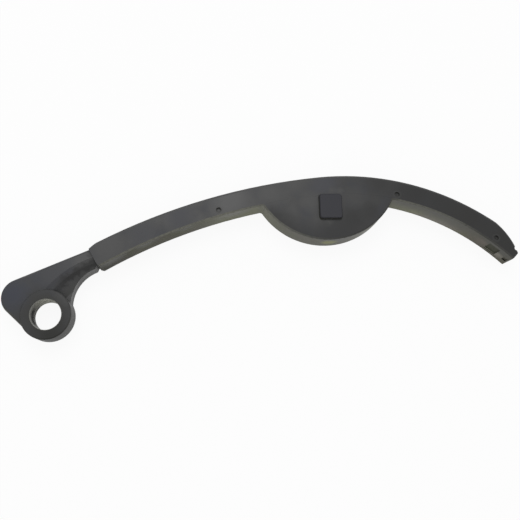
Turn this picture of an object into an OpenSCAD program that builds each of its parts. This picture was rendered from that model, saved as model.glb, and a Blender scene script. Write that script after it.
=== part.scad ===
// Timing chain guide: a pivot arm with a moulded shoe over its blade.
// The origin is on the axis of the pivot bore, half way through the guide's width.
// +X runs from the bore to the tip, +Y to the face that the chain runs on, +Z along the bore.

/* [Pivot eye] */
// Diameter of the pivot bore
bore_d = 12; // [8:0.5:13]
// Outer radius of the round boss about the bore
boss_r = 9.9; // [9:0.1:11]
// Length of the boss along the bore
boss_w = 10.4; // [10:0.1:11.8]
// Rounding of the boss's front rim
boss_edge = 0.5; // [0.3:0.1:1.6]
// Rounding of the boss's back rim
boss_back = 0.8; // [0.3:0.1:1.6]
// Chamfer at each mouth of the bore
bore_chamfer = 0.4; // [0.2:0.1:0.8]
// Radius of the heel, the round corner behind the bore
heel_r = 7.4; // [5:0.1:9]
// Distance of the heel's centre behind the bore
heel_back = 10.2; // [8:0.1:13]
// Height of the heel's centre over the bore
heel_up = 6.6; // [4:0.1:8]

/* [Arm] */
// Thickness of the arm's plate
plate_w = 9.6; // [8:0.1:9.8]
// Rounding of the plate's rims
plate_edge = 0.9; // [0.4:0.1:1.5]
// Radius of the plate's shoulder where it enters the shoe
shoulder_r = 3; // [2:0.1:3.5]
// How far the plate lies under the running face where it enters the shoe
step_top = 1; // [0.6:0.1:2]
// How far the plate lies inside the shoe's underside where it enters the shoe
step_under = 0.3; // [0.2:0.1:1]
// Radius of the hollow neck between the boss and the shoe
neck_r = 15; // [14:0.1:18]
// Distance of the neck's hollow from the axis of the bore
neck_waist = 9.2; // [8:0.1:9.2]
// Radius of the line where the front face starts to slope down to the neck
slope_r = 36.8; // [33:0.1:42]
// Distance of that line under the running face at the shoe's open end
slope_under = 5.9; // [5:0.1:7]
// How far that line passes on the other side of the bore's axis
slope_past = 4.5; // [3:0.1:5.5]
// Width of the slope
slope_w = 6.6; // [4:0.1:8]
// Width of the slope's gentle start
slope_soft = 2.4; // [1.5:0.1:3]
// Depth of the slope at the end of that start
slope_soft_d = 0.4; // [0.2:0.1:0.6]
// Depth of the ledge at the foot of the slope
slope_d = 3; // [1:0.1:3.4]

/* [Blade] */
// Thickness of the blade inside the shoe
blade_t = 4; // [3:0.1:4.4]
// Width of the blade inside the shoe
blade_w = 6; // [4:0.1:7]
// Cover of the shoe over the blade on the running side
blade_cover = 3; // [2:0.1:3.2]
// Length of the blade along the running face
blade_len = 170; // [120:1:174]

/* [Running face] */
// Place of the running face's start along X
start_x = 14.7; // [13:0.1:18]
// Place of the running face's start along Y
start_y = 27; // [25:0.1:30]
// Heading of the running face at its start, in degrees above X
start_turn = 30.1; // [26:0.1:33]
// Radius of the long entry arc
entry_r = 250; // [220:1:320]
// Turn of the entry arc, in degrees
entry_turn = 22.7; // [20:0.1:25]
// Radius of the crown arc
crown_r = 108; // [98:1:125]
// Turn of the crown arc, in degrees
crown_turn = 40.6; // [37:0.1:42]
// Radius of the nose arc at the tip
nose_r = 29.6; // [25:0.1:36]
// Kink between the crown arc and the nose arc, in degrees
nose_kink = 4; // [2:0.5:8]
// Turn of the underside past the end of the crown arc, in degrees
tip_turn = 9.1; // [7.5:0.1:10]

/* [Shoe] */
// Width of the shoe across the chain
shoe_w = 12; // [12:0.1:14]
// Thickness of the shoe under the running face
shoe_t = 8.55; // [7.8:0.05:10]
// Rounding of the running face's long edges
shoe_edge = 1; // [0.4:0.1:1.4]
// Bevel of the long edges of the underside and the belly
shoe_bevel = 0.6; // [0.3:0.1:1.2]
// Extra thickness of the shoe at its open end
flare = 0.9; // [0.6:0.1:1.6]
// Length over which that extra thickness fades out
flare_len = 76; // [74:1:85]
// Length of the bevel that leads the chain on
lead_len = 3.8; // [2:0.1:6]
// Depth of that bevel
lead_depth = 1.1; // [0.5:0.1:1.8]
// Bevel of the underside's corner at the open end
heel_bevel = 1.2; // [0.6:0.1:2]

/* [Belly] */
// Place of the belly along the running face
belly_at = 102.3; // [95:0.1:110]
// Radius of the belly
belly_r = 31.2; // [26:0.1:36]
// Depth of the belly under the running face
belly_depth = 27.2; // [22:0.1:31]
// How far the belly's two faces lie inside the shoe's
belly_inset = 0.02; // [0.02:0.01:0.2]
// Radius of the hollow corner between the belly and the underside, towards the open end
corner_r = 2.2; // [2:0.1:6]

/* [Stop pad] */
// Length of the raised pad on the belly
pad_l = 9.8; // [6:0.1:12]
// Height of the pad across the belly
pad_h = 10.8; // [6:0.1:12]
// Rise of the pad over the shoe's front face
pad_rise = 1.6; // [0.6:0.1:2.5]
// Corner radius of the pad
pad_corner = 1.3; // [0.6:0.1:2]
// Draft of the pad's sides over its rise
pad_draft = 0.3; // [0.1:0.05:0.5]
// Depth of the pad's middle under the running face
pad_depth = 13.4; // [11:0.1:16]
// Turn of the pad's sides from X, in degrees
pad_turn = 1.5; // [0:0.5:8]

/* [Moulding marks] */
// Diameter of the holes that the mould's pins leave
pin_d = 2.2; // [1:0.1:2.6]
// Depth of the pin holes into the front face
pin_deep = 0.9; // [0.4:0.1:2]
// Distance of the pin holes under the running face
pin_depth = 6.1; // [4.4:0.1:6.2]
// Place of the first pin hole along the running face
pin_first = 54.7; // [45:0.1:62]
// Distance from the first pin hole to the second
pin_gap = 78.4; // [70:0.1:84]
// Distance from the second pin hole to the third
pin_gap_tip = 48.1; // [40:0.1:49]
// Length of the pocket in the underside near the tip
pocket_l = 5.2; // [3:0.1:5.6]
// Width of the pocket
pocket_w = 7; // [4:0.1:8]
// Depth of the pocket
pocket_d = 0.6; // [0.4:0.1:2.4]
// Distance of the pocket from the shoe's end face
pocket_back = 8.4; // [7:0.1:9.4]
// Length of the dimple in the underside by the end face
dimple_l = 1.8; // [1:0.1:2.2]
// Width of the dimple
dimple_w = 3.4; // [2:0.1:6]
// Depth of the dimple
dimple_d = 0.5; // [0.3:0.1:1.6]
// Distance of the dimple from the shoe's end face
dimple_back = 1.6; // [1.5:0.1:2.4]
// Radius of the groove across the running face at the tip
groove_r = 0.9; // [0.4:0.1:1.2]
// Distance of the groove from the shoe's end face
groove_back = 2; // [1.6:0.1:3]

/* [Hidden] */
$fn = 180;
hull_sides = 64;
// Overrun of the cutters, and the size of those that clear all on one side
slack = 1;
reach = 40;
// Depth under the running face at which the belly ends inside the shoe
belly_root = 3;
// How far the hollow corner's circle bites into the belly and the underside
corner_bite = 0.15;
// Sweep of the cutter that shapes the nose, in degrees
nose_sweep = 90;
// Steps of the plate's rim, inwards and down, as parts of its rounding
rim_steps = [[0, 1], [0.3, 0.4], [1, 0]];
arm_colour = "#4a4d52";
shoe_colour = "#484847";

// Unit vector that points from the running face into the guide, at a heading
function inward(turn) = [sin(turn), -cos(turn)];
function arc_degrees(length, radius) = length / radius * 180 / PI;
function arc_length(degrees, radius) = degrees * PI / 180 * radius;

// Crossing point of two circles, on the left or the right of the line between their centres
function circles_cross(c1, r1, c2, r2, side) =
    let (gap = c2 - c1, d = norm(gap), u = gap / d)
    let (a = (d * d + r1 * r1 - r2 * r2) / (2 * d), h = sqrt(r1 * r1 - a * a))
    c1 + a * u + side * h * [-u[1], u[0]];

// The running face is an entry arc, a crown arc tangent to it and a nose arc that leaves it with a kink
start = [start_x, start_y];
entry_c = start + entry_r * inward(start_turn);
entry_len = arc_length(entry_turn, entry_r);
crown_from = start_turn - entry_turn;
meeting = entry_c - entry_r * inward(crown_from);
crown_c = meeting + crown_r * inward(crown_from);
nose_from = crown_from - crown_turn;
nose_c = crown_c - crown_r * inward(nose_from) + nose_r * inward(nose_from - nose_kink);
// Heading of the nose circle where it stands clear of the crown, half way to their other crossing
nose_clear = nose_from - nose_kink + nose_kink / (1 - nose_r / crown_r);
end_turn = nose_from - tip_turn;

// Heading and place at a distance along the entry and crown arcs, at a depth under them
function turn_at(s) = s < entry_len
    ? start_turn - arc_degrees(s, entry_r)
    : crown_from - arc_degrees(s - entry_len, crown_r);
function place(s, depth) = s < entry_len
    ? entry_c - (entry_r - depth) * inward(turn_at(s))
    : crown_c - (crown_r - depth) * inward(turn_at(s));

// The underside of the open end is an arc that meets the shoe's own underside with no kink
flare_r = 1 / (1 / (entry_r - shoe_t) + 2 * flare / (flare_len * flare_len));
flare_c = place(flare_len, shoe_t) + flare_r * inward(turn_at(flare_len));

// The belly's centre lies outside the running face, on the line through its deepest point
belly_c = place(belly_at, belly_depth - belly_r);

// Neck of the arm, from the boss to the shoe's open end
under_end = place(0, shoe_t + flare - step_under);
neck_c = circles_cross([0, 0], neck_waist + neck_r, under_end, neck_r, -1);
slope_c = circles_cross([0, 0], slope_r - slope_past, place(0, slope_under), slope_r, -1);
heel_c = [-heel_back, heel_up];
shoulder_c = place(0, step_top + shoulder_r);

// Place on the crown circle, back from the end face, at a depth under the running face
function near_tip(back, depth) =
    crown_c - (crown_r - depth) * inward(end_turn + arc_degrees(back, crown_r - shoe_t));

// Heading of the nose arc where it meets the end face
end_line = -inward(end_turn);
to_nose = nose_c - crown_c;
end_side = to_nose * end_line;
end_radius = end_side + sqrt(nose_r * nose_r - to_nose * to_nose + end_side * end_side);
nose_tip = crown_c + end_radius * end_line - nose_c;
nose_end_turn = atan2(nose_tip[1], nose_tip[0]) - 90;

// Points of a rim at a radius, from the lower face out to the wall and from the wall to the upper face
function lower_rim(radius, side, edge) =
    [for (i = [len(rim_steps) - 1:-1:0])
        [radius - rim_steps[i][0] * edge, rim_steps[i][1] * edge - side]];
function upper_rim(radius, side, edge) =
    [for (step = rim_steps) [radius - step[0] * edge, side - step[1] * edge]];

// Section of the shoe: rounded rims at the running face, bevelled ones at the underside
module shoe_section(radius, thickness) {
    r_in = radius - thickness;
    side = shoe_w / 2;
    polygon(concat(
        [[r_in, shoe_bevel - side], [r_in + shoe_bevel, -side]],
        lower_rim(radius, side, shoe_edge),
        upper_rim(radius, side, shoe_edge),
        [[r_in + shoe_bevel, side], [r_in, side - shoe_bevel]]));
}

// Round disc with a rim on its back and one on its front
module disc(radius, width, back, front) {
    side = width / 2;
    rotate_extrude()
        polygon(concat(
            [[0, -side]],
            lower_rim(radius, side, back),
            upper_rim(radius, side, front),
            [[0, side]]));
}

// Sweeps a section back round the entry arc, from where it meets the crown arc
module entry_sweep(degrees) {
    translate(meeting) rotate([0, 0, crown_from]) translate([0, -entry_r])
        rotate([0, 0, 90]) rotate_extrude(angle = degrees) children();
}

// Sweeps a section on round the crown arc, from the same place
module crown_sweep(degrees) {
    translate(meeting) rotate([0, 0, crown_from]) mirror([1, 0, 0]) translate([0, -crown_r])
        rotate([0, 0, 90]) rotate_extrude(angle = degrees) children();
}

// A round cutter that leaves a bevelled rim on both faces of what it hollows
module hollow_cutter(centre, radius, width, edge) {
    top = width / 2 + slack;
    rim = radius + edge + slack;
    wall = width / 2 - edge;
    translate(centre)
        rotate_extrude()
            polygon([[0, -top], [rim, -top], [radius, -wall], [radius, wall], [rim, top], [0, top]]);
}

// Round plate with stepped chamfers on both rims, one of the corners of the arm's plate
module puck(centre, radius) {
    translate(centre)
        for (step = rim_steps)
            cylinder(r = radius - step[0] * plate_edge, h = plate_w - 2 * step[1] * plate_edge,
                center = true, $fn = hull_sides);
}

// All that lies past the shoe's open end
module beyond_step() {
    translate(start)
        rotate([0, 0, start_turn])
            translate([0, -reach / 2, -reach / 2]) cube([reach, reach, reach]);
}

// Section of the blade under a running face of some radius
module blade_section(radius) {
    translate([radius - blade_cover - blade_t, -blade_w / 2]) square([blade_t, blade_w]);
}

// The blade follows the running face at a constant cover, and starts inside the plate
module blade() {
    entry_sweep(entry_turn + arc_degrees(shoulder_r, entry_r)) blade_section(entry_r);
    crown_sweep(arc_degrees(blade_len - entry_len, crown_r)) blade_section(crown_r);
}

// Wide hollow that slopes the arm's front face down to a ledge along the neck, gently at first
module neck_slope() {
    start_r = slope_r + slope_soft / 2;
    translate([slope_c[0], slope_c[1], plate_w / 2])
        rotate_extrude()
            polygon([
                [0, -slope_d], [slope_r - slope_w, -slope_d],
                [start_r - slope_soft, -slope_soft_d],
                [start_r + slope_soft * slack / slope_soft_d, slack], [0, slack]]);
}

module pivot_arm() {
    color(arm_colour)
        difference() {
            union() {
                difference() {
                    hull() {
                        puck([0, 0], boss_r - plate_edge / 2);
                        puck(heel_c, heel_r);
                        puck(shoulder_c, shoulder_r);
                    }
                    beyond_step();
                    hollow_cutter(neck_c, neck_r, plate_w, plate_edge);
                    neck_slope();
                }
                disc(boss_r, boss_w, boss_back, boss_edge);
                blade();
            }
            cylinder(d = bore_d, h = boss_w + 2 * slack, center = true);
            for (side = [0, 1]) mirror([0, 0, side])
                translate([0, 0, boss_w / 2 - bore_chamfer])
                    cylinder(d1 = bore_d, d2 = bore_d + 2 * (bore_chamfer + slack),
                        h = bore_chamfer + slack);
        }
}

// Long arcs of the shoe, with its thicker open end
module shoe_arcs() {
    difference() {
        entry_sweep(entry_turn) shoe_section(entry_r, shoe_t + flare + 2 * slack);
        hollow_cutter(flare_c, flare_r, shoe_w, shoe_bevel);
    }
    crown_sweep(crown_from - end_turn) shoe_section(crown_r, shoe_t);
}

// Round lobe on the underside that the tensioner's plunger bears on
module belly() {
    intersection() {
        translate(belly_c) disc(belly_r, shoe_w - 2 * belly_inset, shoe_bevel, shoe_bevel);
        translate(crown_c) cylinder(r = crown_r - belly_root, h = shoe_w + 2 * slack, center = true);
    }
}

// Hollow corner between the belly and the underside, towards the open end
module hollow_corner() {
    corner = circles_cross(belly_c, belly_r, flare_c, flare_r, -1);
    away = corner_r - corner_bite;
    middle = circles_cross(belly_c, belly_r + away, flare_c, flare_r - away, -1);
    root = corner + (corner - middle) / 2;
    from_belly = belly_c + belly_r * (middle - belly_c) / norm(middle - belly_c);
    from_under = flare_c + flare_r * (middle - flare_c) / norm(middle - flare_c);
    difference() {
        translate([0, 0, 2 * belly_inset - shoe_w / 2])
            linear_extrude(shoe_w - 4 * belly_inset)
                polygon([from_belly, root, from_under]);
        hollow_cutter(middle, corner_r, shoe_w, shoe_bevel);
    }
}

// Outline of the pad at one level, drawn in by an inset
module pad_outline(inset) {
    corner = pad_corner - inset;
    for (x = [-1, 1], y = [-1, 1])
        translate([x * (pad_l / 2 - pad_corner), y * (pad_h / 2 - pad_corner)]) circle(corner, $fn = 32);
}

module stop_pad() {
    middle = place(belly_at, pad_depth);
    translate([middle[0], middle[1], shoe_w / 2 - slack])
        rotate([0, 0, pad_turn])
            hull() {
                linear_extrude(slack) pad_outline(0);
                linear_extrude(slack + pad_rise - pad_draft) pad_outline(pad_draft);
                linear_extrude(slack + pad_rise) pad_outline(2 * pad_draft);
            }
}

// Turns a section about the nose's centre, from where the nose circle stands clear of the crown
module nose_turn() {
    translate(nose_c) rotate([0, 0, nose_clear + 90 - nose_sweep])
        rotate_extrude(angle = nose_sweep) children();
}

// Cuts the nose arc at the tip, then bevels its two edges
module nose_cutters() {
    top = shoe_w / 2 + slack;
    rim = nose_r + slack;
    nose_turn() translate([nose_r, -top]) square([reach, 2 * top]);
    for (end = [-1, 1])
        nose_turn()
            polygon([[rim, end * (top - shoe_bevel - 2 * slack)], [rim, end * top],
                [nose_r - shoe_bevel - slack, end * top]]);
}

// Bevel at the shoe's open end that leads the chain on
module lead_in() {
    translate([0, 0, -shoe_w / 2 - slack])
        linear_extrude(shoe_w + 2 * slack)
            polygon([place(-slack, lead_depth * (1 + slack / lead_len)), place(lead_len, 0),
                place(lead_len, -2 * slack), place(-slack, -2 * slack)]);
}

// Bevel of the underside's corner at the shoe's open end
module heel_cutter() {
    corner = place(0, shoe_t + flare);
    translate([corner[0], corner[1], -shoe_w / 2 - slack])
        rotate([0, 0, start_turn])
            linear_extrude(shoe_w + 2 * slack)
                polygon([[-slack, heel_bevel + slack], [-slack, -slack], [heel_bevel + slack, -slack]]);
}

// Holes left in the front face by the mould's pins
module pin_holes() {
    for (s = [pin_first, pin_first + pin_gap, pin_first + pin_gap + pin_gap_tip]) {
        middle = place(s, pin_depth);
        translate([middle[0], middle[1], shoe_w / 2 - pin_deep])
            cylinder(d = pin_d, h = pin_deep + slack);
    }
}

// Recess in the underside, its middle at a distance back from the end face
module tip_recess(back, length, width, depth) {
    translate(near_tip(back, shoe_t))
        rotate([0, 0, end_turn + arc_degrees(back, crown_r - shoe_t)])
            cube([length, 2 * depth, width], center = true);
}

// Groove across the running face just before the end face
module tip_groove() {
    translate(nose_c - nose_r * inward(nose_end_turn + arc_degrees(groove_back, nose_r)))
        cylinder(r = groove_r, h = shoe_w + 2 * slack, center = true);
}

module shoe() {
    color(shoe_colour)
        difference() {
            union() {
                shoe_arcs();
                belly();
                hollow_corner();
                stop_pad();
            }
            blade();
            nose_cutters();
            lead_in();
            heel_cutter();
            pin_holes();
            tip_recess(pocket_back, pocket_l, pocket_w, pocket_d);
            tip_recess(dimple_back, dimple_l, dimple_w, dimple_d);
            tip_groove();
        }
}

pivot_arm();
shoe();
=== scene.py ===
import bpy
from mathutils import Matrix, Vector


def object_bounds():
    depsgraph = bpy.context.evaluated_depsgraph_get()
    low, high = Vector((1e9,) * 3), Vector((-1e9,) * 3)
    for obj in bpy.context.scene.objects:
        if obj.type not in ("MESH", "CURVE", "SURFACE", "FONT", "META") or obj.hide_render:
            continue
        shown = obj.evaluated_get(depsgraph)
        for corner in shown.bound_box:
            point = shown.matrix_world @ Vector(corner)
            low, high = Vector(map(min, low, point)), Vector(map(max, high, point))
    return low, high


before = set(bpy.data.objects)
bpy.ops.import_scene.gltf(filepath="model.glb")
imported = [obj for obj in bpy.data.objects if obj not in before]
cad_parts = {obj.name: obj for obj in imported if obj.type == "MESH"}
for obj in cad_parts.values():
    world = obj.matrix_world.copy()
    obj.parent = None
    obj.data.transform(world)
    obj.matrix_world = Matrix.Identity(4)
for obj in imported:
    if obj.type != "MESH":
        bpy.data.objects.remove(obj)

cad_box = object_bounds()
scene = bpy.context.scene
scene.view_settings.view_transform = "Standard"
MM = 0.001

# Camera of the photograph: frame and focal length in pixels, place in millimetres, and the pixel
# that lies straight below the camera
FRAME_PX = 520
FOCAL_PX = 691
CAMERA_MM = (62.27, -36.18, 276.64)
FOOT_PX = (205, 409.9)
SENSOR_MM = 36.0
CLIP_M = (0.01, 50)

# Floor: a hair below the back of the shoe so that no two faces coincide, half its width, the grey of
# its paper, and how much of what the camera sees is plain white, the rest being lit paper
FLOOR_Z = cad_box[0][2] - 0.02 * MM
FLOOR_HALF_M = 3.0
PAPER = 0.88
FLOOR_WHITE = 0.92

# Light: level of the white room, and a round softbox by its way from the target, distance, size and power
ROOM_LEVEL = 0.65
KEY_TARGET_MM = (90, 25, 0)
KEY_WAY = (-0.12, 0.50, 1.0)
KEY_DISTANCE_M = 1.0
KEY_SIZE_M = 0.6
KEY_WATTS = 3.0

# Places on the part, in millimetres from the middle of the bore
BORE_R = 6.0
FRONT_Z = 6.0
PIN_R = 1.1
PINS = [(66.48, 43.24), (140.65, 51.67), (181.95, 33.78)]
# The shoe's open end on the running face, and the way the shoe leaves it
OPEN_END = (14.7, 27.0, 0)
OPEN_WAY = (0.865, 0.502, 0)
# Axis and radius of the line where the arm's face starts to slope down to the neck
SLOPE_AXIS = (29.6, -12.9)
SLOPE_R = 36.8
# Painted shade just inside that line: how far in, half its width, its wander, and where it sets in along X
# and Z
SLOPE_SHADE_IN = 1.4
SLOPE_SHADE_HALF = 2.0
SLOPE_SHADE_WANDER = 5.0
SLOPE_SHADE_X = (2, 6)
SLOPE_SHADE_Z = (2.2, 3.4)
# Half the width of the painted shade in the corner between the arm's face and the shoe
CORNER_HALF = 2.0
# Axis and radius of the belly's round underside, and of the underside below the crown
BELLY_AXIS = (110.7, 63.0)
BELLY_R = 31.2
CROWN_AXIS = (121.79, -48.47)
UNDER_R = 99.45
# Middle of the pocket in the underside, the way along it and half its length and width
POCKET = (182.28, 30.47, 0)
POCKET_WAY = (0.794, -0.608, 0)
POCKET_HALF = (2.6, 3.5)
# Middle of the pad's face, and a radius that takes in its corners
PAD = (112.4, 45.7, 7.6)
PAD_REACH = 7.6
# Rim of the bore at the front, and the dark streak on the bore's left wall: middle height and half width,
# and where it sets in along X and Y
BORE_RIM_Z = (3.6, 4.6)
STREAK_BAND = (0.2, 2.8)
STREAK_X = (-4.2, -5.2)
STREAK_Y = (3.4, 1.6)
# Dark spot at the far rim of the bore, and the radii of its middle and its edge
BORE_SPOT = (-5.0, 3.3, -4.6)
BORE_SPOT_R = (0.9, 1.5)
# Painted shade along the belly's rim, where its rounded edge turns from the light: how far in it starts
# and is full, and where it sets in and thins out along X and sets in along Y
RIM_SHADE_IN = (8, 1)
RIM_SHADE_X = (84, 88)
RIM_SHADE_THINS = (92, 134)
RIM_SHADE_Y = (49, 42)


def grey(level):
    return (level, level, level)


# Stains and patches of painted sheen and shade, in the order they are laid: place, radius of the full
# patch and of its faint edge, colour and roughness. For those on the shoe's front face the place is X and
# Y
ARM_PATCHES = [
    ((0, 0, 5.2), 7.0, 13.0, (0.016, 0.016, 0.015), 0.50),
    ((3, -9, 5.2), 2, 10, (0.005, 0.005, 0.003), 0.56),
    ((14, 23, 4.8), 3, 10, grey(0.045), 0.40),
    ((9, 10, 2.4), 3, 8, (0.044, 0.044, 0.043), 0.46),
    ((18, 16, 2.6), 2, 8, (0.034, 0.034, 0.032), 0.48),
    ((2, 16, 4.0), 2, 8, (0.027, 0.028, 0.033), 0.42),
    ((-13, 8, 4.0), 2, 8, (0.019, 0.022, 0.036), 0.42),
]
# On the shoe's front face, painted sheen and painted shade: lighter patches towards the left and the
# middle, darker towards the right, and small painted highlights just above the pad
FRONT_SHEEN_AND_SHADE = [
    ((71.0, 47.3), 3, 11, grey(0.046), 0.40),
    ((22.0, 26.3), 3, 10, grey(0.032), 0.42),
    ((87.5, 50.7), 2, 9, grey(0.033), 0.42),
    ((115.0, 35.0), 3, 10, (0.010, 0.010, 0.011), 0.46),
    ((110.0, 55.0), 2, 8, (0.023, 0.024, 0.032), 0.42),
    ((51.0, 40.0), 2, 8, (0.015, 0.016, 0.022), 0.43),
    ((36.0, 32.5), 2, 8, (0.017, 0.018, 0.023), 0.43),
    ((144.6, 52.6), 3, 11, grey(0.010), 0.46),
    ((160.0, 48.0), 4, 14, grey(0.011), 0.45),
    ((185.0, 32.0), 4, 14, (0.013, 0.013, 0.012), 0.46),
    ((97.5, 56.0), 2, 8, grey(0.031), 0.42),
    ((121.5, 41.0), 2, 8, grey(0.007), 0.47),
    ((133.0, 57.0), 2, 8, grey(0.011), 0.46),
    ((148.0, 53.5), 2, 9, grey(0.008), 0.47),
    ((171.0, 42.5), 3, 11, (0.012, 0.0115, 0.0105), 0.46),
    ((113.4, 52.6), 0.4, 2.2, grey(0.036), 0.42),
    ((116.4, 52.4), 0.4, 2.2, grey(0.036), 0.42),
    ((111.6, 39.3), 0.4, 2.2, (0.030, 0.030, 0.029), 0.44),
    ((105.0, 47.5), 1.5, 6, grey(0.033), 0.41),
    ((123.0, 50.0), 1.5, 6, grey(0.026), 0.42),
    ((129.0, 44.0), 1.5, 5, grey(0.010), 0.46),
]
UNDER_STAINS = [
    ((112.4, 31.9, 0.5), 1.5, 4.2, (0.150, 0.155, 0.050), 0.54),
    ((184.8, 28.2, -1.0), 1.0, 3.4, (0.170, 0.160, 0.138), 0.60),
    ((177.5, 32.7, 0.0), 1.0, 4.2, (0.100, 0.084, 0.072), 0.62),
]

# Colours of the arm's walls, and of its rims on the upper side and the underside, painted light as a
# painted highlight
ARM_WALLS = [(0.016, 0.016, 0.013), (0.026, 0.026, 0.020)]
ARM_RIM_HIGHLIGHTS = [(0.050, 0.050, 0.051), (0.045, 0.045, 0.038)]

# Painted reflection on the bore's wall from its lowest to its highest wall, painted highlight on its rim,
# and the dark streak
BORE_REFLECTION = [
    (0.05, (0.36, 0.36, 0.34)),
    (0.30, (0.16, 0.16, 0.15)),
    (0.80, (0.17, 0.17, 0.14)),
    (0.97, (0.44, 0.44, 0.36)),
]
BORE_RIM_HIGHLIGHT = (0.22, 0.22, 0.20)
STREAK_DARK = (0.014, 0.014, 0.011)

# Film of dry oil on the shoe's underside: two tones and their dark specks, the pale stretch past the
# belly, olive patches, the darker stretch by the open end, the brown tip, and the tint of its gloss
FILM = [(0.062, 0.064, 0.036), (0.062, 0.056, 0.045)]
FILM_SPECKS = (0.036, 0.037, 0.024)
FILM_PALE = [(0.152, 0.157, 0.088), (0.165, 0.150, 0.124)]
FILM_OLIVE = (0.110, 0.115, 0.066)
FILM_DARK_END = (0.014, 0.014, 0.011)
FILM_TIP = (0.080, 0.068, 0.056)
FILM_GLINT = (1.0, 0.99, 0.80)
# Where they lie along X, or along Z: the two ends of a rise or fall, or a middle and half a width
PALE_RISE = (135, 150)
PALE_FALL = (163, 176)
PALE_Z = (4, -4)
OLIVE_LEFT = (76, 16)
OLIVE_RIGHT = (141, 10)
OLIVE_Z = (5, 2)
DARK_END_RISE = (36, 24)
TIP_RISE = (158, 172)
# The same for the film's roughness, which is dull near the open end, on the belly and at the tip
DULL_FALL = (50, 78)
DULL_BELLY = (104, 34)
DULL_PAST_BELLY = (148, 14)
DULL_TIP = (156, 178)

# Colour of the bevels on the shoe's underside by X, painted pale and dark as painted highlight and shade,
# the dark specks on them, and the colour of the bevels on its upper side, a painted highlight, left and
# right of the crown
BEVEL_LENGTH = 200
BEVEL_HIGHLIGHT_AND_SHADE = [
    (10, (0.125, 0.125, 0.100)),
    (76, (0.150, 0.150, 0.122)),
    (88, (0.120, 0.120, 0.100)),
    (100, (0.085, 0.085, 0.072)),
    (110, (0.045, 0.045, 0.040)),
    (124, (0.022, 0.022, 0.020)),
    (136, (0.022, 0.022, 0.020)),
    (142, (0.115, 0.115, 0.094)),
    (164, (0.105, 0.104, 0.088)),
    (176, (0.040, 0.040, 0.035)),
]
BEVEL_SPECKS = (0.035, 0.035, 0.030)
UPPER_BEVEL_HIGHLIGHTS = [(0.058, 0.058, 0.057), (0.032, 0.032, 0.031)]
UPPER_CHANGE = (105, 140)

# Colours of the pocket's sides, painted pale as painted light against their shadow, and of its floor and
# ends, of the pad's face and sides, and of the painted light in the pin holes, from the left to the right
# of the belly
POCKET_LIT_SIDES_AND_FLOOR = [(0.30, 0.30, 0.24), (0.034, 0.036, 0.025)]
PAD_COLOURS = [(0.016, 0.016, 0.023), grey(0.030)]
PIN_LIGHT = [(0.066, 0.066, 0.064), (0.045, 0.045, 0.044)]
PIN_LIGHT_CHANGE = (90, 130)


def make_camera():
    data = bpy.data.cameras.new("camera")
    data.sensor_width = SENSOR_MM
    data.lens = SENSOR_MM * FOCAL_PX / FRAME_PX
    data.clip_start, data.clip_end = CLIP_M
    cam = bpy.data.objects.new("camera", data)
    scene.collection.objects.link(cam)
    half = FRAME_PX / 2
    # The world's axes as the camera sees them
    up = -Vector((FOOT_PX[0] - half, half - FOOT_PX[1], -FOCAL_PX)).normalized()
    x = (Vector((1, 0, 0)) - up.x * up).normalized()
    y = up.cross(x)
    cam.matrix_world = Matrix.Translation(Vector(CAMERA_MM) * MM) @ Matrix((x, y, up)).to_4x4()
    scene.camera = cam


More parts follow.
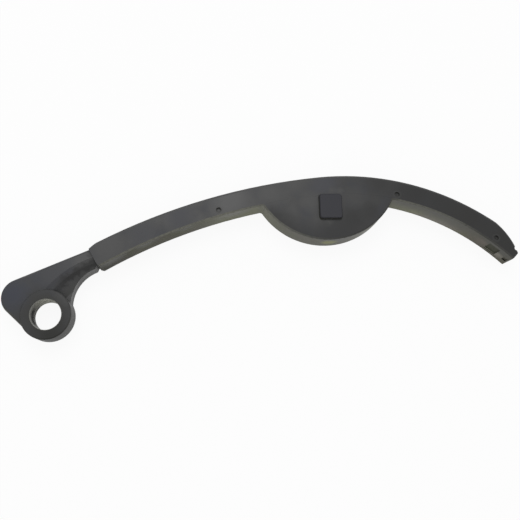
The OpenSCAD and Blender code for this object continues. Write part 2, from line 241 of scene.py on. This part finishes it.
# A node tree, with short ways to add the nodes that the materials are made of
class Graph:
    def __init__(self, tree):
        self.tree = tree
        tree.nodes.clear()

    def add(self, kind, **settings):
        node = self.tree.nodes.new(kind)
        for key, value in settings.items():
            setattr(node, key, value)
        return node

    # Links an input, or sets it to a number, a vector or a colour
    def feed(self, socket, value):
        if isinstance(value, bpy.types.NodeSocket):
            self.tree.links.new(value, socket)
        elif isinstance(value, tuple) and socket.type == "RGBA":
            socket.default_value = (*value, 1)
        else:
            socket.default_value = value

    # Feeds inputs by their names, with _ for a space
    def feed_all(self, node, **values):
        for key, value in values.items():
            self.feed(node.inputs[key.replace("_", " ")], value)

    def noise(self, coords, scale, detail, output="Fac"):
        node = self.add("ShaderNodeTexNoise")
        self.feed_all(node, Vector=coords, Scale=scale, Detail=detail)
        return node.outputs[output]

    def ramp(self, factor, stops):
        node = self.add("ShaderNodeValToRGB")
        elements = node.color_ramp.elements
        stops = list(stops)
        while len(elements) < len(stops):
            elements.new(0.5)
        for element, (place, colour) in zip(elements, stops):
            element.position = place
            element.color = (*colour, 1)
        self.feed_all(node, Fac=factor)
        return node.outputs["Color"]

    # Colour between two, in the mix node's sockets for colours
    def mix(self, factor, a, b):
        node = self.add("ShaderNodeMix", data_type="RGBA")
        self.feed_all(node, Factor=factor)
        self.feed(node.inputs[6], a)
        self.feed(node.inputs[7], b)
        return node.outputs[2]

    # Number between two, in the mix node's sockets for numbers
    def blend(self, factor, a, b):
        node = self.add("ShaderNodeMix", data_type="FLOAT")
        self.feed_all(node, Factor=factor)
        self.feed(node.inputs[2], a)
        self.feed(node.inputs[3], b)
        return node.outputs[0]

    def mix_shader(self, factor, a, b):
        node = self.add("ShaderNodeMixShader")
        for socket, value in zip(node.inputs, (factor, a, b)):
            self.feed(socket, value)
        return node.outputs["Shader"]

    # Value from one range carried over to another, and held at its ends
    def scaled(self, value, low, high, to_low, to_high):
        node = self.add("ShaderNodeMapRange")
        self.feed_all(node, Value=value, From_Min=low, From_Max=high, To_Min=to_low, To_Max=to_high)
        return node.outputs["Result"]

    # Mask that is 0 up to the first value and reaches its most at the second, which may be the lower one
    def fade(self, value, start, end, most=1):
        return self.scaled(value, start, end, 0, most)

    def maths(self, operation, *values):
        node = self.add("ShaderNodeMath", operation=operation)
        for socket, value in zip(node.inputs, values):
            self.feed(socket, value)
        return node.outputs["Value"]

    def times(self, first, *others):
        for other in others:
            first = self.maths("MULTIPLY", first, other)
        return first

    def vector(self, operation, a, b, output="Vector"):
        node = self.add("ShaderNodeVectorMath", operation=operation)
        self.feed(node.inputs[0], a)
        self.feed(node.inputs[1], b)
        return node.outputs[output]

    def axes(self, value):
        node = self.add("ShaderNodeSeparateXYZ")
        self.feed_all(node, Vector=value)
        return node.outputs

    # Mask of all within a distance, with the CAD surface that lies at that distance
    def within(self, distance, limit):
        return self.fade(distance, limit + 0.3, limit + 0.1)

    # Soft band of one coordinate, 1 in its middle
    def band(self, value, middle, half):
        off = self.maths("ABSOLUTE", self.maths("SUBTRACT", value, middle))
        return self.fade(off, half, 0.4 * half)

    # Soft round patch about a point, 1 inside the first distance and 0 outside the second
    def patch(self, coords, centre, inner, outer):
        return self.fade(self.vector("DISTANCE", coords, centre, "Value"), outer, inner)

    # Distance from an axis that runs along Z
    def from_axis(self, coords, centre):
        flat = self.vector("MULTIPLY", coords, (1, 1, 0))
        return self.vector("DISTANCE", flat, (*centre, 0), "Value")

    # Distance past a plane that passes through a point
    def past_plane(self, coords, origin, way):
        return self.vector("DOT_PRODUCT", self.vector("SUBTRACT", coords, origin), way, "Value")

    # Coordinates shifted about by a noise, which gives patches a ragged outline
    def ragged(self, coords, shift_mm):
        wander = self.vector("SUBTRACT", self.noise(coords, 0.45, 3, "Color"), grey(0.5))
        return self.vector("ADD", coords, self.vector("MULTIPLY", wander, grey(shift_mm)))

    # Edges, found where a rounded normal leaves the true one
    def edges(self, radius_mm):
        soft = self.add("ShaderNodeBevel", samples=6)
        self.feed_all(soft, Radius=radius_mm * MM)
        true = self.add("ShaderNodeNewGeometry").outputs["Normal"]
        return self.fade(self.vector("DOT_PRODUCT", soft.outputs["Normal"], true, "Value"), 0.98, 0.85)


# Black moulded plastic while it is made up: a cloudy colour and roughness, over which stains, wear and
# painted light and shade are laid one after another
class Plastic(Graph):
    # Range of the bare plastic's roughness, how far outlines wander, the reach of the scuffs from an edge,
    # and how deep and how strong the grain is
    ROUGH = (0.37, 0.47)
    RAGGED_MM = 3.0
    SCUFF_MM = 0.35
    GRAIN_DEPTH_MM = 0.05
    GRAIN_STRENGTH = 0.25

    def __init__(self, name, dark, light, tint):
        self.mat = bpy.data.materials.new(name)
        self.mat.use_nodes = True
        super().__init__(self.mat.node_tree)
        surface = self.add("ShaderNodeTexCoord").outputs
        self.mm = self.vector("MULTIPLY", surface["Object"], grey(1 / MM))
        self.x, self.y, self.z = self.axes(self.mm)
        self.rag = self.ragged(self.mm, self.RAGGED_MM)
        # Noises from wide to fine, by their scale per millimetre. Their values lie about 0.5
        clouds = self.noise(self.mm, 0.06, 3)
        self.patches = self.noise(self.mm, 0.14, 2)
        self.specks = self.noise(self.mm, 0.9, 3)
        self.colour = self.ramp(clouds, [(0.36, dark), (0.64, light)])
        self.rough = self.scaled(self.patches, 0.3, 0.7, *self.ROUGH)
        self.glint = None
        self.lay(self.fade(self.patches, 0.45, 0.68, 0.7), tint)
        normal = self.axes(surface["Normal"])
        upright = self.maths("ABSOLUTE", normal["Z"])
        # Masks of front and back, walls, the slanting facets of rims and bevels, and all that faces down Y
        self.faces = self.fade(upright, 0.95, 0.98)
        self.walls = self.fade(upright, 0.42, 0.30)
        self.facets = self.times(self.fade(upright, 0.90, 0.88), self.fade(upright, 0.30, 0.42))
        self.under = self.fade(normal["Y"], 0.05, -0.05)

    def lay(self, mask, colour, rough=None):
        self.colour = self.mix(mask, self.colour, colour)
        if rough is not None:
            self.rough = self.blend(mask, self.rough, rough)

    # Soft round patch of colour, for stains and for patches of painted sheen and shade
    def stain_and_sheen(self, centre, inner, outer, colour, rough):
        self.lay(self.patch(self.rag, centre, inner, outer), colour, rough)

    # Light scuffs on the edges, then the grain of the mould
    def finish(self, scuff, grain_mm):
        self.lay(self.times(self.edges(self.SCUFF_MM), self.fade(self.specks, 0.48, 0.7, 0.6)), scuff)
        bump = self.add("ShaderNodeBump")
        grain = self.noise(self.mm, 1 / grain_mm, 2)
        self.feed_all(bump, Strength=self.GRAIN_STRENGTH, Distance=self.GRAIN_DEPTH_MM * MM, Height=grain)
        shader = self.add("ShaderNodeBsdfPrincipled")
        self.feed_all(shader, Base_Color=self.colour, Roughness=self.rough, Normal=bump.outputs["Normal"])
        if self.glint is not None:
            self.feed_all(shader, Specular_Tint=self.glint)
        self.feed_all(self.add("ShaderNodeOutputMaterial"), Surface=shader.outputs["BSDF"])
        return self.mat


# The arm: dull walls, rims painted light as a painted highlight, lighter and darker patches, then painted
# shade and the bore's painted reflection in their own places
def arm_plastic():
    skin = Plastic("arm_plastic", (0.018, 0.019, 0.022), (0.026, 0.027, 0.030), (0.020, 0.023, 0.034))
    dull = skin.ramp(skin.specks, zip((0.35, 0.65), ARM_WALLS))
    skin.lay(skin.walls, dull, rough=0.56)
    # Rims painted light: a painted highlight
    skin.lay(skin.facets, skin.mix(skin.under, *ARM_RIM_HIGHLIGHTS))
    for stain_and_sheen in ARM_PATCHES:
        skin.stain_and_sheen(*stain_and_sheen)
    slope_shade(skin)
    corner_shade(skin)
    bore_painted_light(skin)
    return skin.finish(scuff=grey(0.085), grain_mm=0.35)


# Painted shade: a dark, wandering line where the arm's face starts to slope, for the shadow at its upper
# edge
def slope_shade(skin):
    wander = skin.ragged(skin.mm, SLOPE_SHADE_WANDER)
    line = skin.band(skin.from_axis(wander, SLOPE_AXIS), SLOPE_R - SLOPE_SHADE_IN, SLOPE_SHADE_HALF)
    past_bore = skin.fade(skin.x, *SLOPE_SHADE_X, most=0.8)
    near_front = skin.fade(skin.z, *SLOPE_SHADE_Z)
    skin.lay(skin.times(line, past_bore, near_front), grey(0.010), rough=0.57)


# Painted shade in the corner between the arm's face and the shoe's open end, where the shoe's end shades
# the arm
def corner_shade(skin):
    corner = skin.band(skin.past_plane(skin.rag, OPEN_END, OPEN_WAY), 0, CORNER_HALF)
    uneven = skin.scaled(skin.specks, 0.2, 0.6, 0.1, 0.5)
    skin.lay(skin.times(corner, uneven), grey(0.012), rough=0.56)


# Painted reflection on the bore's wall, painted highlight on its front rim, a dark streak at its left and
# a dark spot at its far rim
def bore_painted_light(skin):
    bore = skin.within(skin.from_axis(skin.mm, (0, 0)), BORE_R)
    painted_light = skin.ramp(skin.fade(skin.y, -BORE_R, BORE_R), BORE_REFLECTION)
    painted_light = skin.mix(skin.fade(skin.z, *BORE_RIM_Z), painted_light, BORE_RIM_HIGHLIGHT)
    skin.lay(bore, painted_light, rough=0.62)
    streak = skin.band(skin.axes(skin.rag)["Z"], *STREAK_BAND)
    left = skin.fade(skin.x, *STREAK_X)
    low = skin.fade(skin.y, *STREAK_Y)
    skin.lay(skin.times(streak, left, low, bore), STREAK_DARK, rough=0.85)
    skin.lay(skin.patch(skin.mm, BORE_SPOT, *BORE_SPOT_R), grey(0.001), rough=0.9)


# The shoe: a worn running face, an underside with a film of dry oil, patches of painted sheen and shade,
# stains, painted highlight and shade on the bevels, painted shade on the belly's rim, the pocket, the pad
# and the pin holes
def shoe_plastic():
    skin = Plastic("shoe_plastic", grey(0.016), grey(0.023), (0.017, 0.019, 0.026))
    running_face(skin)
    oil_film(skin)
    # Painted sheen and shade on the front face, then the stains on the underside
    for centre, *stain_and_sheen in FRONT_SHEEN_AND_SHADE:
        skin.stain_and_sheen((*centre, FRONT_Z), *stain_and_sheen)
    for stain_and_sheen in UNDER_STAINS:
        skin.stain_and_sheen(*stain_and_sheen)
    bevels(skin)
    belly_rim_shade(skin)
    pocket(skin)
    pad(skin)
    pin_holes(skin)
    return skin.finish(scuff=(0.070, 0.070, 0.068), grain_mm=0.30)


# Plain walls with faint marks along the way of the chain
def running_face(skin):
    marks = skin.noise(skin.vector("MULTIPLY", skin.mm, (0.04, 0.04, 1.3)), 1.0, 3)
    worn = skin.ramp(marks, [(0.35, grey(0.018)), (0.65, (0.030, 0.030, 0.029))])
    skin.lay(skin.walls, worn, skin.scaled(marks, 0.35, 0.65, 0.36, 0.50))


# Uneven film of dry oil on the walls of the underside, with a yellowish gloss
def oil_film(skin):
    x, z = skin.x, skin.z
    blotch = skin.fade(skin.patches, 0.42, 0.60)
    film = skin.mix(blotch, *FILM)
    film = skin.mix(skin.fade(skin.specks, 0.35, 0.65, most=0.6), film, FILM_SPECKS)
    pale = skin.times(skin.fade(x, *PALE_RISE), skin.fade(z, *PALE_Z), skin.scaled(x, *PALE_FALL, 1, 0.3))
    film = skin.mix(pale, film, skin.mix(blotch, *FILM_PALE))
    olive = skin.times(skin.band(x, *OLIVE_RIGHT), skin.scaled(z, *OLIVE_Z, 0.2, 0.9))
    olive = skin.maths("MAXIMUM", skin.band(x, *OLIVE_LEFT), olive)
    film = skin.mix(olive, film, FILM_OLIVE)
    film = skin.mix(skin.fade(x, *DARK_END_RISE, most=0.8), film, FILM_DARK_END)
    film = skin.mix(skin.fade(x, *TIP_RISE, most=0.5), film, FILM_TIP)
    dull = skin.scaled(x, *DULL_FALL, 0.70, 0.44)
    dull = skin.blend(olive, dull, 0.62)
    dull = skin.blend(skin.band(x, *DULL_BELLY), dull, 0.54)
    dull = skin.blend(skin.band(x, *DULL_PAST_BELLY), dull, 0.54)
    dull = skin.blend(skin.fade(x, *DULL_TIP), dull, 0.66)
    coated = skin.times(skin.walls, skin.under)
    skin.lay(coated, film, dull)
    skin.glint = skin.mix(coated, grey(1), FILM_GLINT)


# Bevels: painted highlight and painted shade along the underside, with dark specks, and a plainer painted
# highlight on the upper side
def bevels(skin):
    stops = [(x / BEVEL_LENGTH, colour) for x, colour in BEVEL_HIGHLIGHT_AND_SHADE]
    lower = skin.ramp(skin.scaled(skin.x, 0, BEVEL_LENGTH, 0, 1), stops)
    lower = skin.mix(skin.scaled(skin.specks, 0.3, 0.6, 0.5, 0), lower, BEVEL_SPECKS)
    upper = skin.mix(skin.fade(skin.x, *UPPER_CHANGE), *UPPER_BEVEL_HIGHLIGHTS)
    skin.lay(skin.facets, skin.mix(skin.under, upper, lower), rough=0.55)


# Mask of the front half of the shoe
def front_half(skin):
    return skin.fade(skin.z, 0, 1)


# Painted shade along the belly's rim on the front face, where its rounded edge turns from the light,
# strongest at its left
def belly_rim_shade(skin):
    starts, full = (BELLY_R - depth for depth in RIM_SHADE_IN)
    rim = skin.fade(skin.from_axis(skin.rag, BELLY_AXIS), starts, full)
    front = skin.times(skin.faces, front_half(skin))
    along = skin.times(skin.fade(skin.x, *RIM_SHADE_X), skin.scaled(skin.x, *RIM_SHADE_THINS, 0.95, 0.1))
    low = skin.fade(skin.y, *RIM_SHADE_Y)
    skin.lay(skin.times(rim, front, along, low), grey(0.004), rough=0.50)


# Pocket in the underside, dull olive, with its sides painted pale as painted light against their shadow
def pocket(skin):
    deep = skin.fade(skin.from_axis(skin.mm, CROWN_AXIS), UNDER_R + 0.05, UNDER_R + 0.3)
    along = skin.maths("ABSOLUTE", skin.past_plane(skin.mm, POCKET, POCKET_WAY))
    across = skin.maths("ABSOLUTE", skin.z)
    inside = [skin.within(off, half) for off, half in zip((along, across), POCKET_HALF)]
    skin.lay(skin.times(deep, *inside), skin.mix(skin.walls, *POCKET_LIT_SIDES_AND_FLOOR), rough=0.75)


# Dull, bluish pad with lighter sides
def pad(skin):
    raised = skin.fade(skin.z, FRONT_Z + 0.02, FRONT_Z + 0.2)
    square = skin.patch(skin.mm, PAD, PAD_REACH - 1, PAD_REACH)
    skin.lay(skin.times(square, raised), skin.mix(skin.walls, *PAD_COLOURS), rough=0.58)


# Pin holes painted lighter, as painted light against their own shadow, with a trace of it round them
def pin_holes(skin):
    painted_light = skin.mix(skin.fade(skin.x, *PIN_LIGHT_CHANGE), *PIN_LIGHT)
    deep = skin.scaled(skin.z, FRONT_Z - 0.02, FRONT_Z - 0.3, 0.3, 1)
    front = front_half(skin)
    for pin in PINS:
        ring = skin.band(skin.from_axis(skin.mm, pin), PIN_R, 0.75 * PIN_R)
        skin.lay(skin.times(ring, deep, front), painted_light, rough=0.60)


def dress(node, mat):
    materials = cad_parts[node].data.materials
    materials.clear()
    materials.append(mat)


# Paper that is nearly white to the camera, with a trace of the shadow, and white in reflections
def floor_paper():
    mat = bpy.data.materials.new("floor")
    mat.use_nodes = True
    graph = Graph(mat.node_tree)
    ray = graph.add("ShaderNodeLightPath").outputs
    paper = graph.add("ShaderNodeBsdfDiffuse")
    graph.feed_all(paper, Color=grey(PAPER))
    white = graph.add("ShaderNodeEmission")
    graph.feed_all(white, Strength=1.0)
    seen = graph.fade(ray["Is Camera Ray"], 0, 1, FLOOR_WHITE)
    seen = graph.maths("MAXIMUM", seen, ray["Is Glossy Ray"])
    shown = graph.mix_shader(seen, paper.outputs["BSDF"], white.outputs["Emission"])
    graph.feed_all(graph.add("ShaderNodeOutputMaterial"), Surface=shown)
    return mat


def make_floor():
    half = FLOOR_HALF_M
    corners = [(-half, -half), (half, -half), (half, half), (-half, half)]
    mesh = bpy.data.meshes.new("floor")
    mesh.from_pydata([(*corner, FLOOR_Z) for corner in corners], [], [(0, 1, 2, 3)])
    mesh.materials.append(floor_paper())
    floor = bpy.data.objects.new("floor", mesh)
    scene.collection.objects.link(floor)


# White room, plain white to the camera and dimmer as a light
def make_world():
    world = bpy.data.worlds.new("studio")
    world.use_nodes = True
    scene.world = world
    graph = Graph(world.node_tree)
    whites = []
    for level in (ROOM_LEVEL, 1.0):
        white = graph.add("ShaderNodeBackground")
        graph.feed_all(white, Color=grey(1), Strength=level)
        whites.append(white.outputs["Background"])
    ray = graph.add("ShaderNodeLightPath").outputs
    shown = graph.mix_shader(ray["Is Camera Ray"], *whites)
    graph.feed_all(graph.add("ShaderNodeOutputWorld"), Surface=shown)


def make_key():
    data = bpy.data.lights.new("key", "AREA")
    data.shape = "DISK"
    data.size = KEY_SIZE_M
    data.energy = KEY_WATTS
    lamp = bpy.data.objects.new("key", data)
    scene.collection.objects.link(lamp)
    way = Vector(KEY_WAY).normalized()
    lamp.location = Vector(KEY_TARGET_MM) * MM + way * KEY_DISTANCE_M
    lamp.rotation_euler = way.to_track_quat("Z", "Y").to_euler()


make_camera()
make_floor()
make_world()
make_key()
dress("pivot_arm", arm_plastic())
dress("shoe", shoe_plastic())
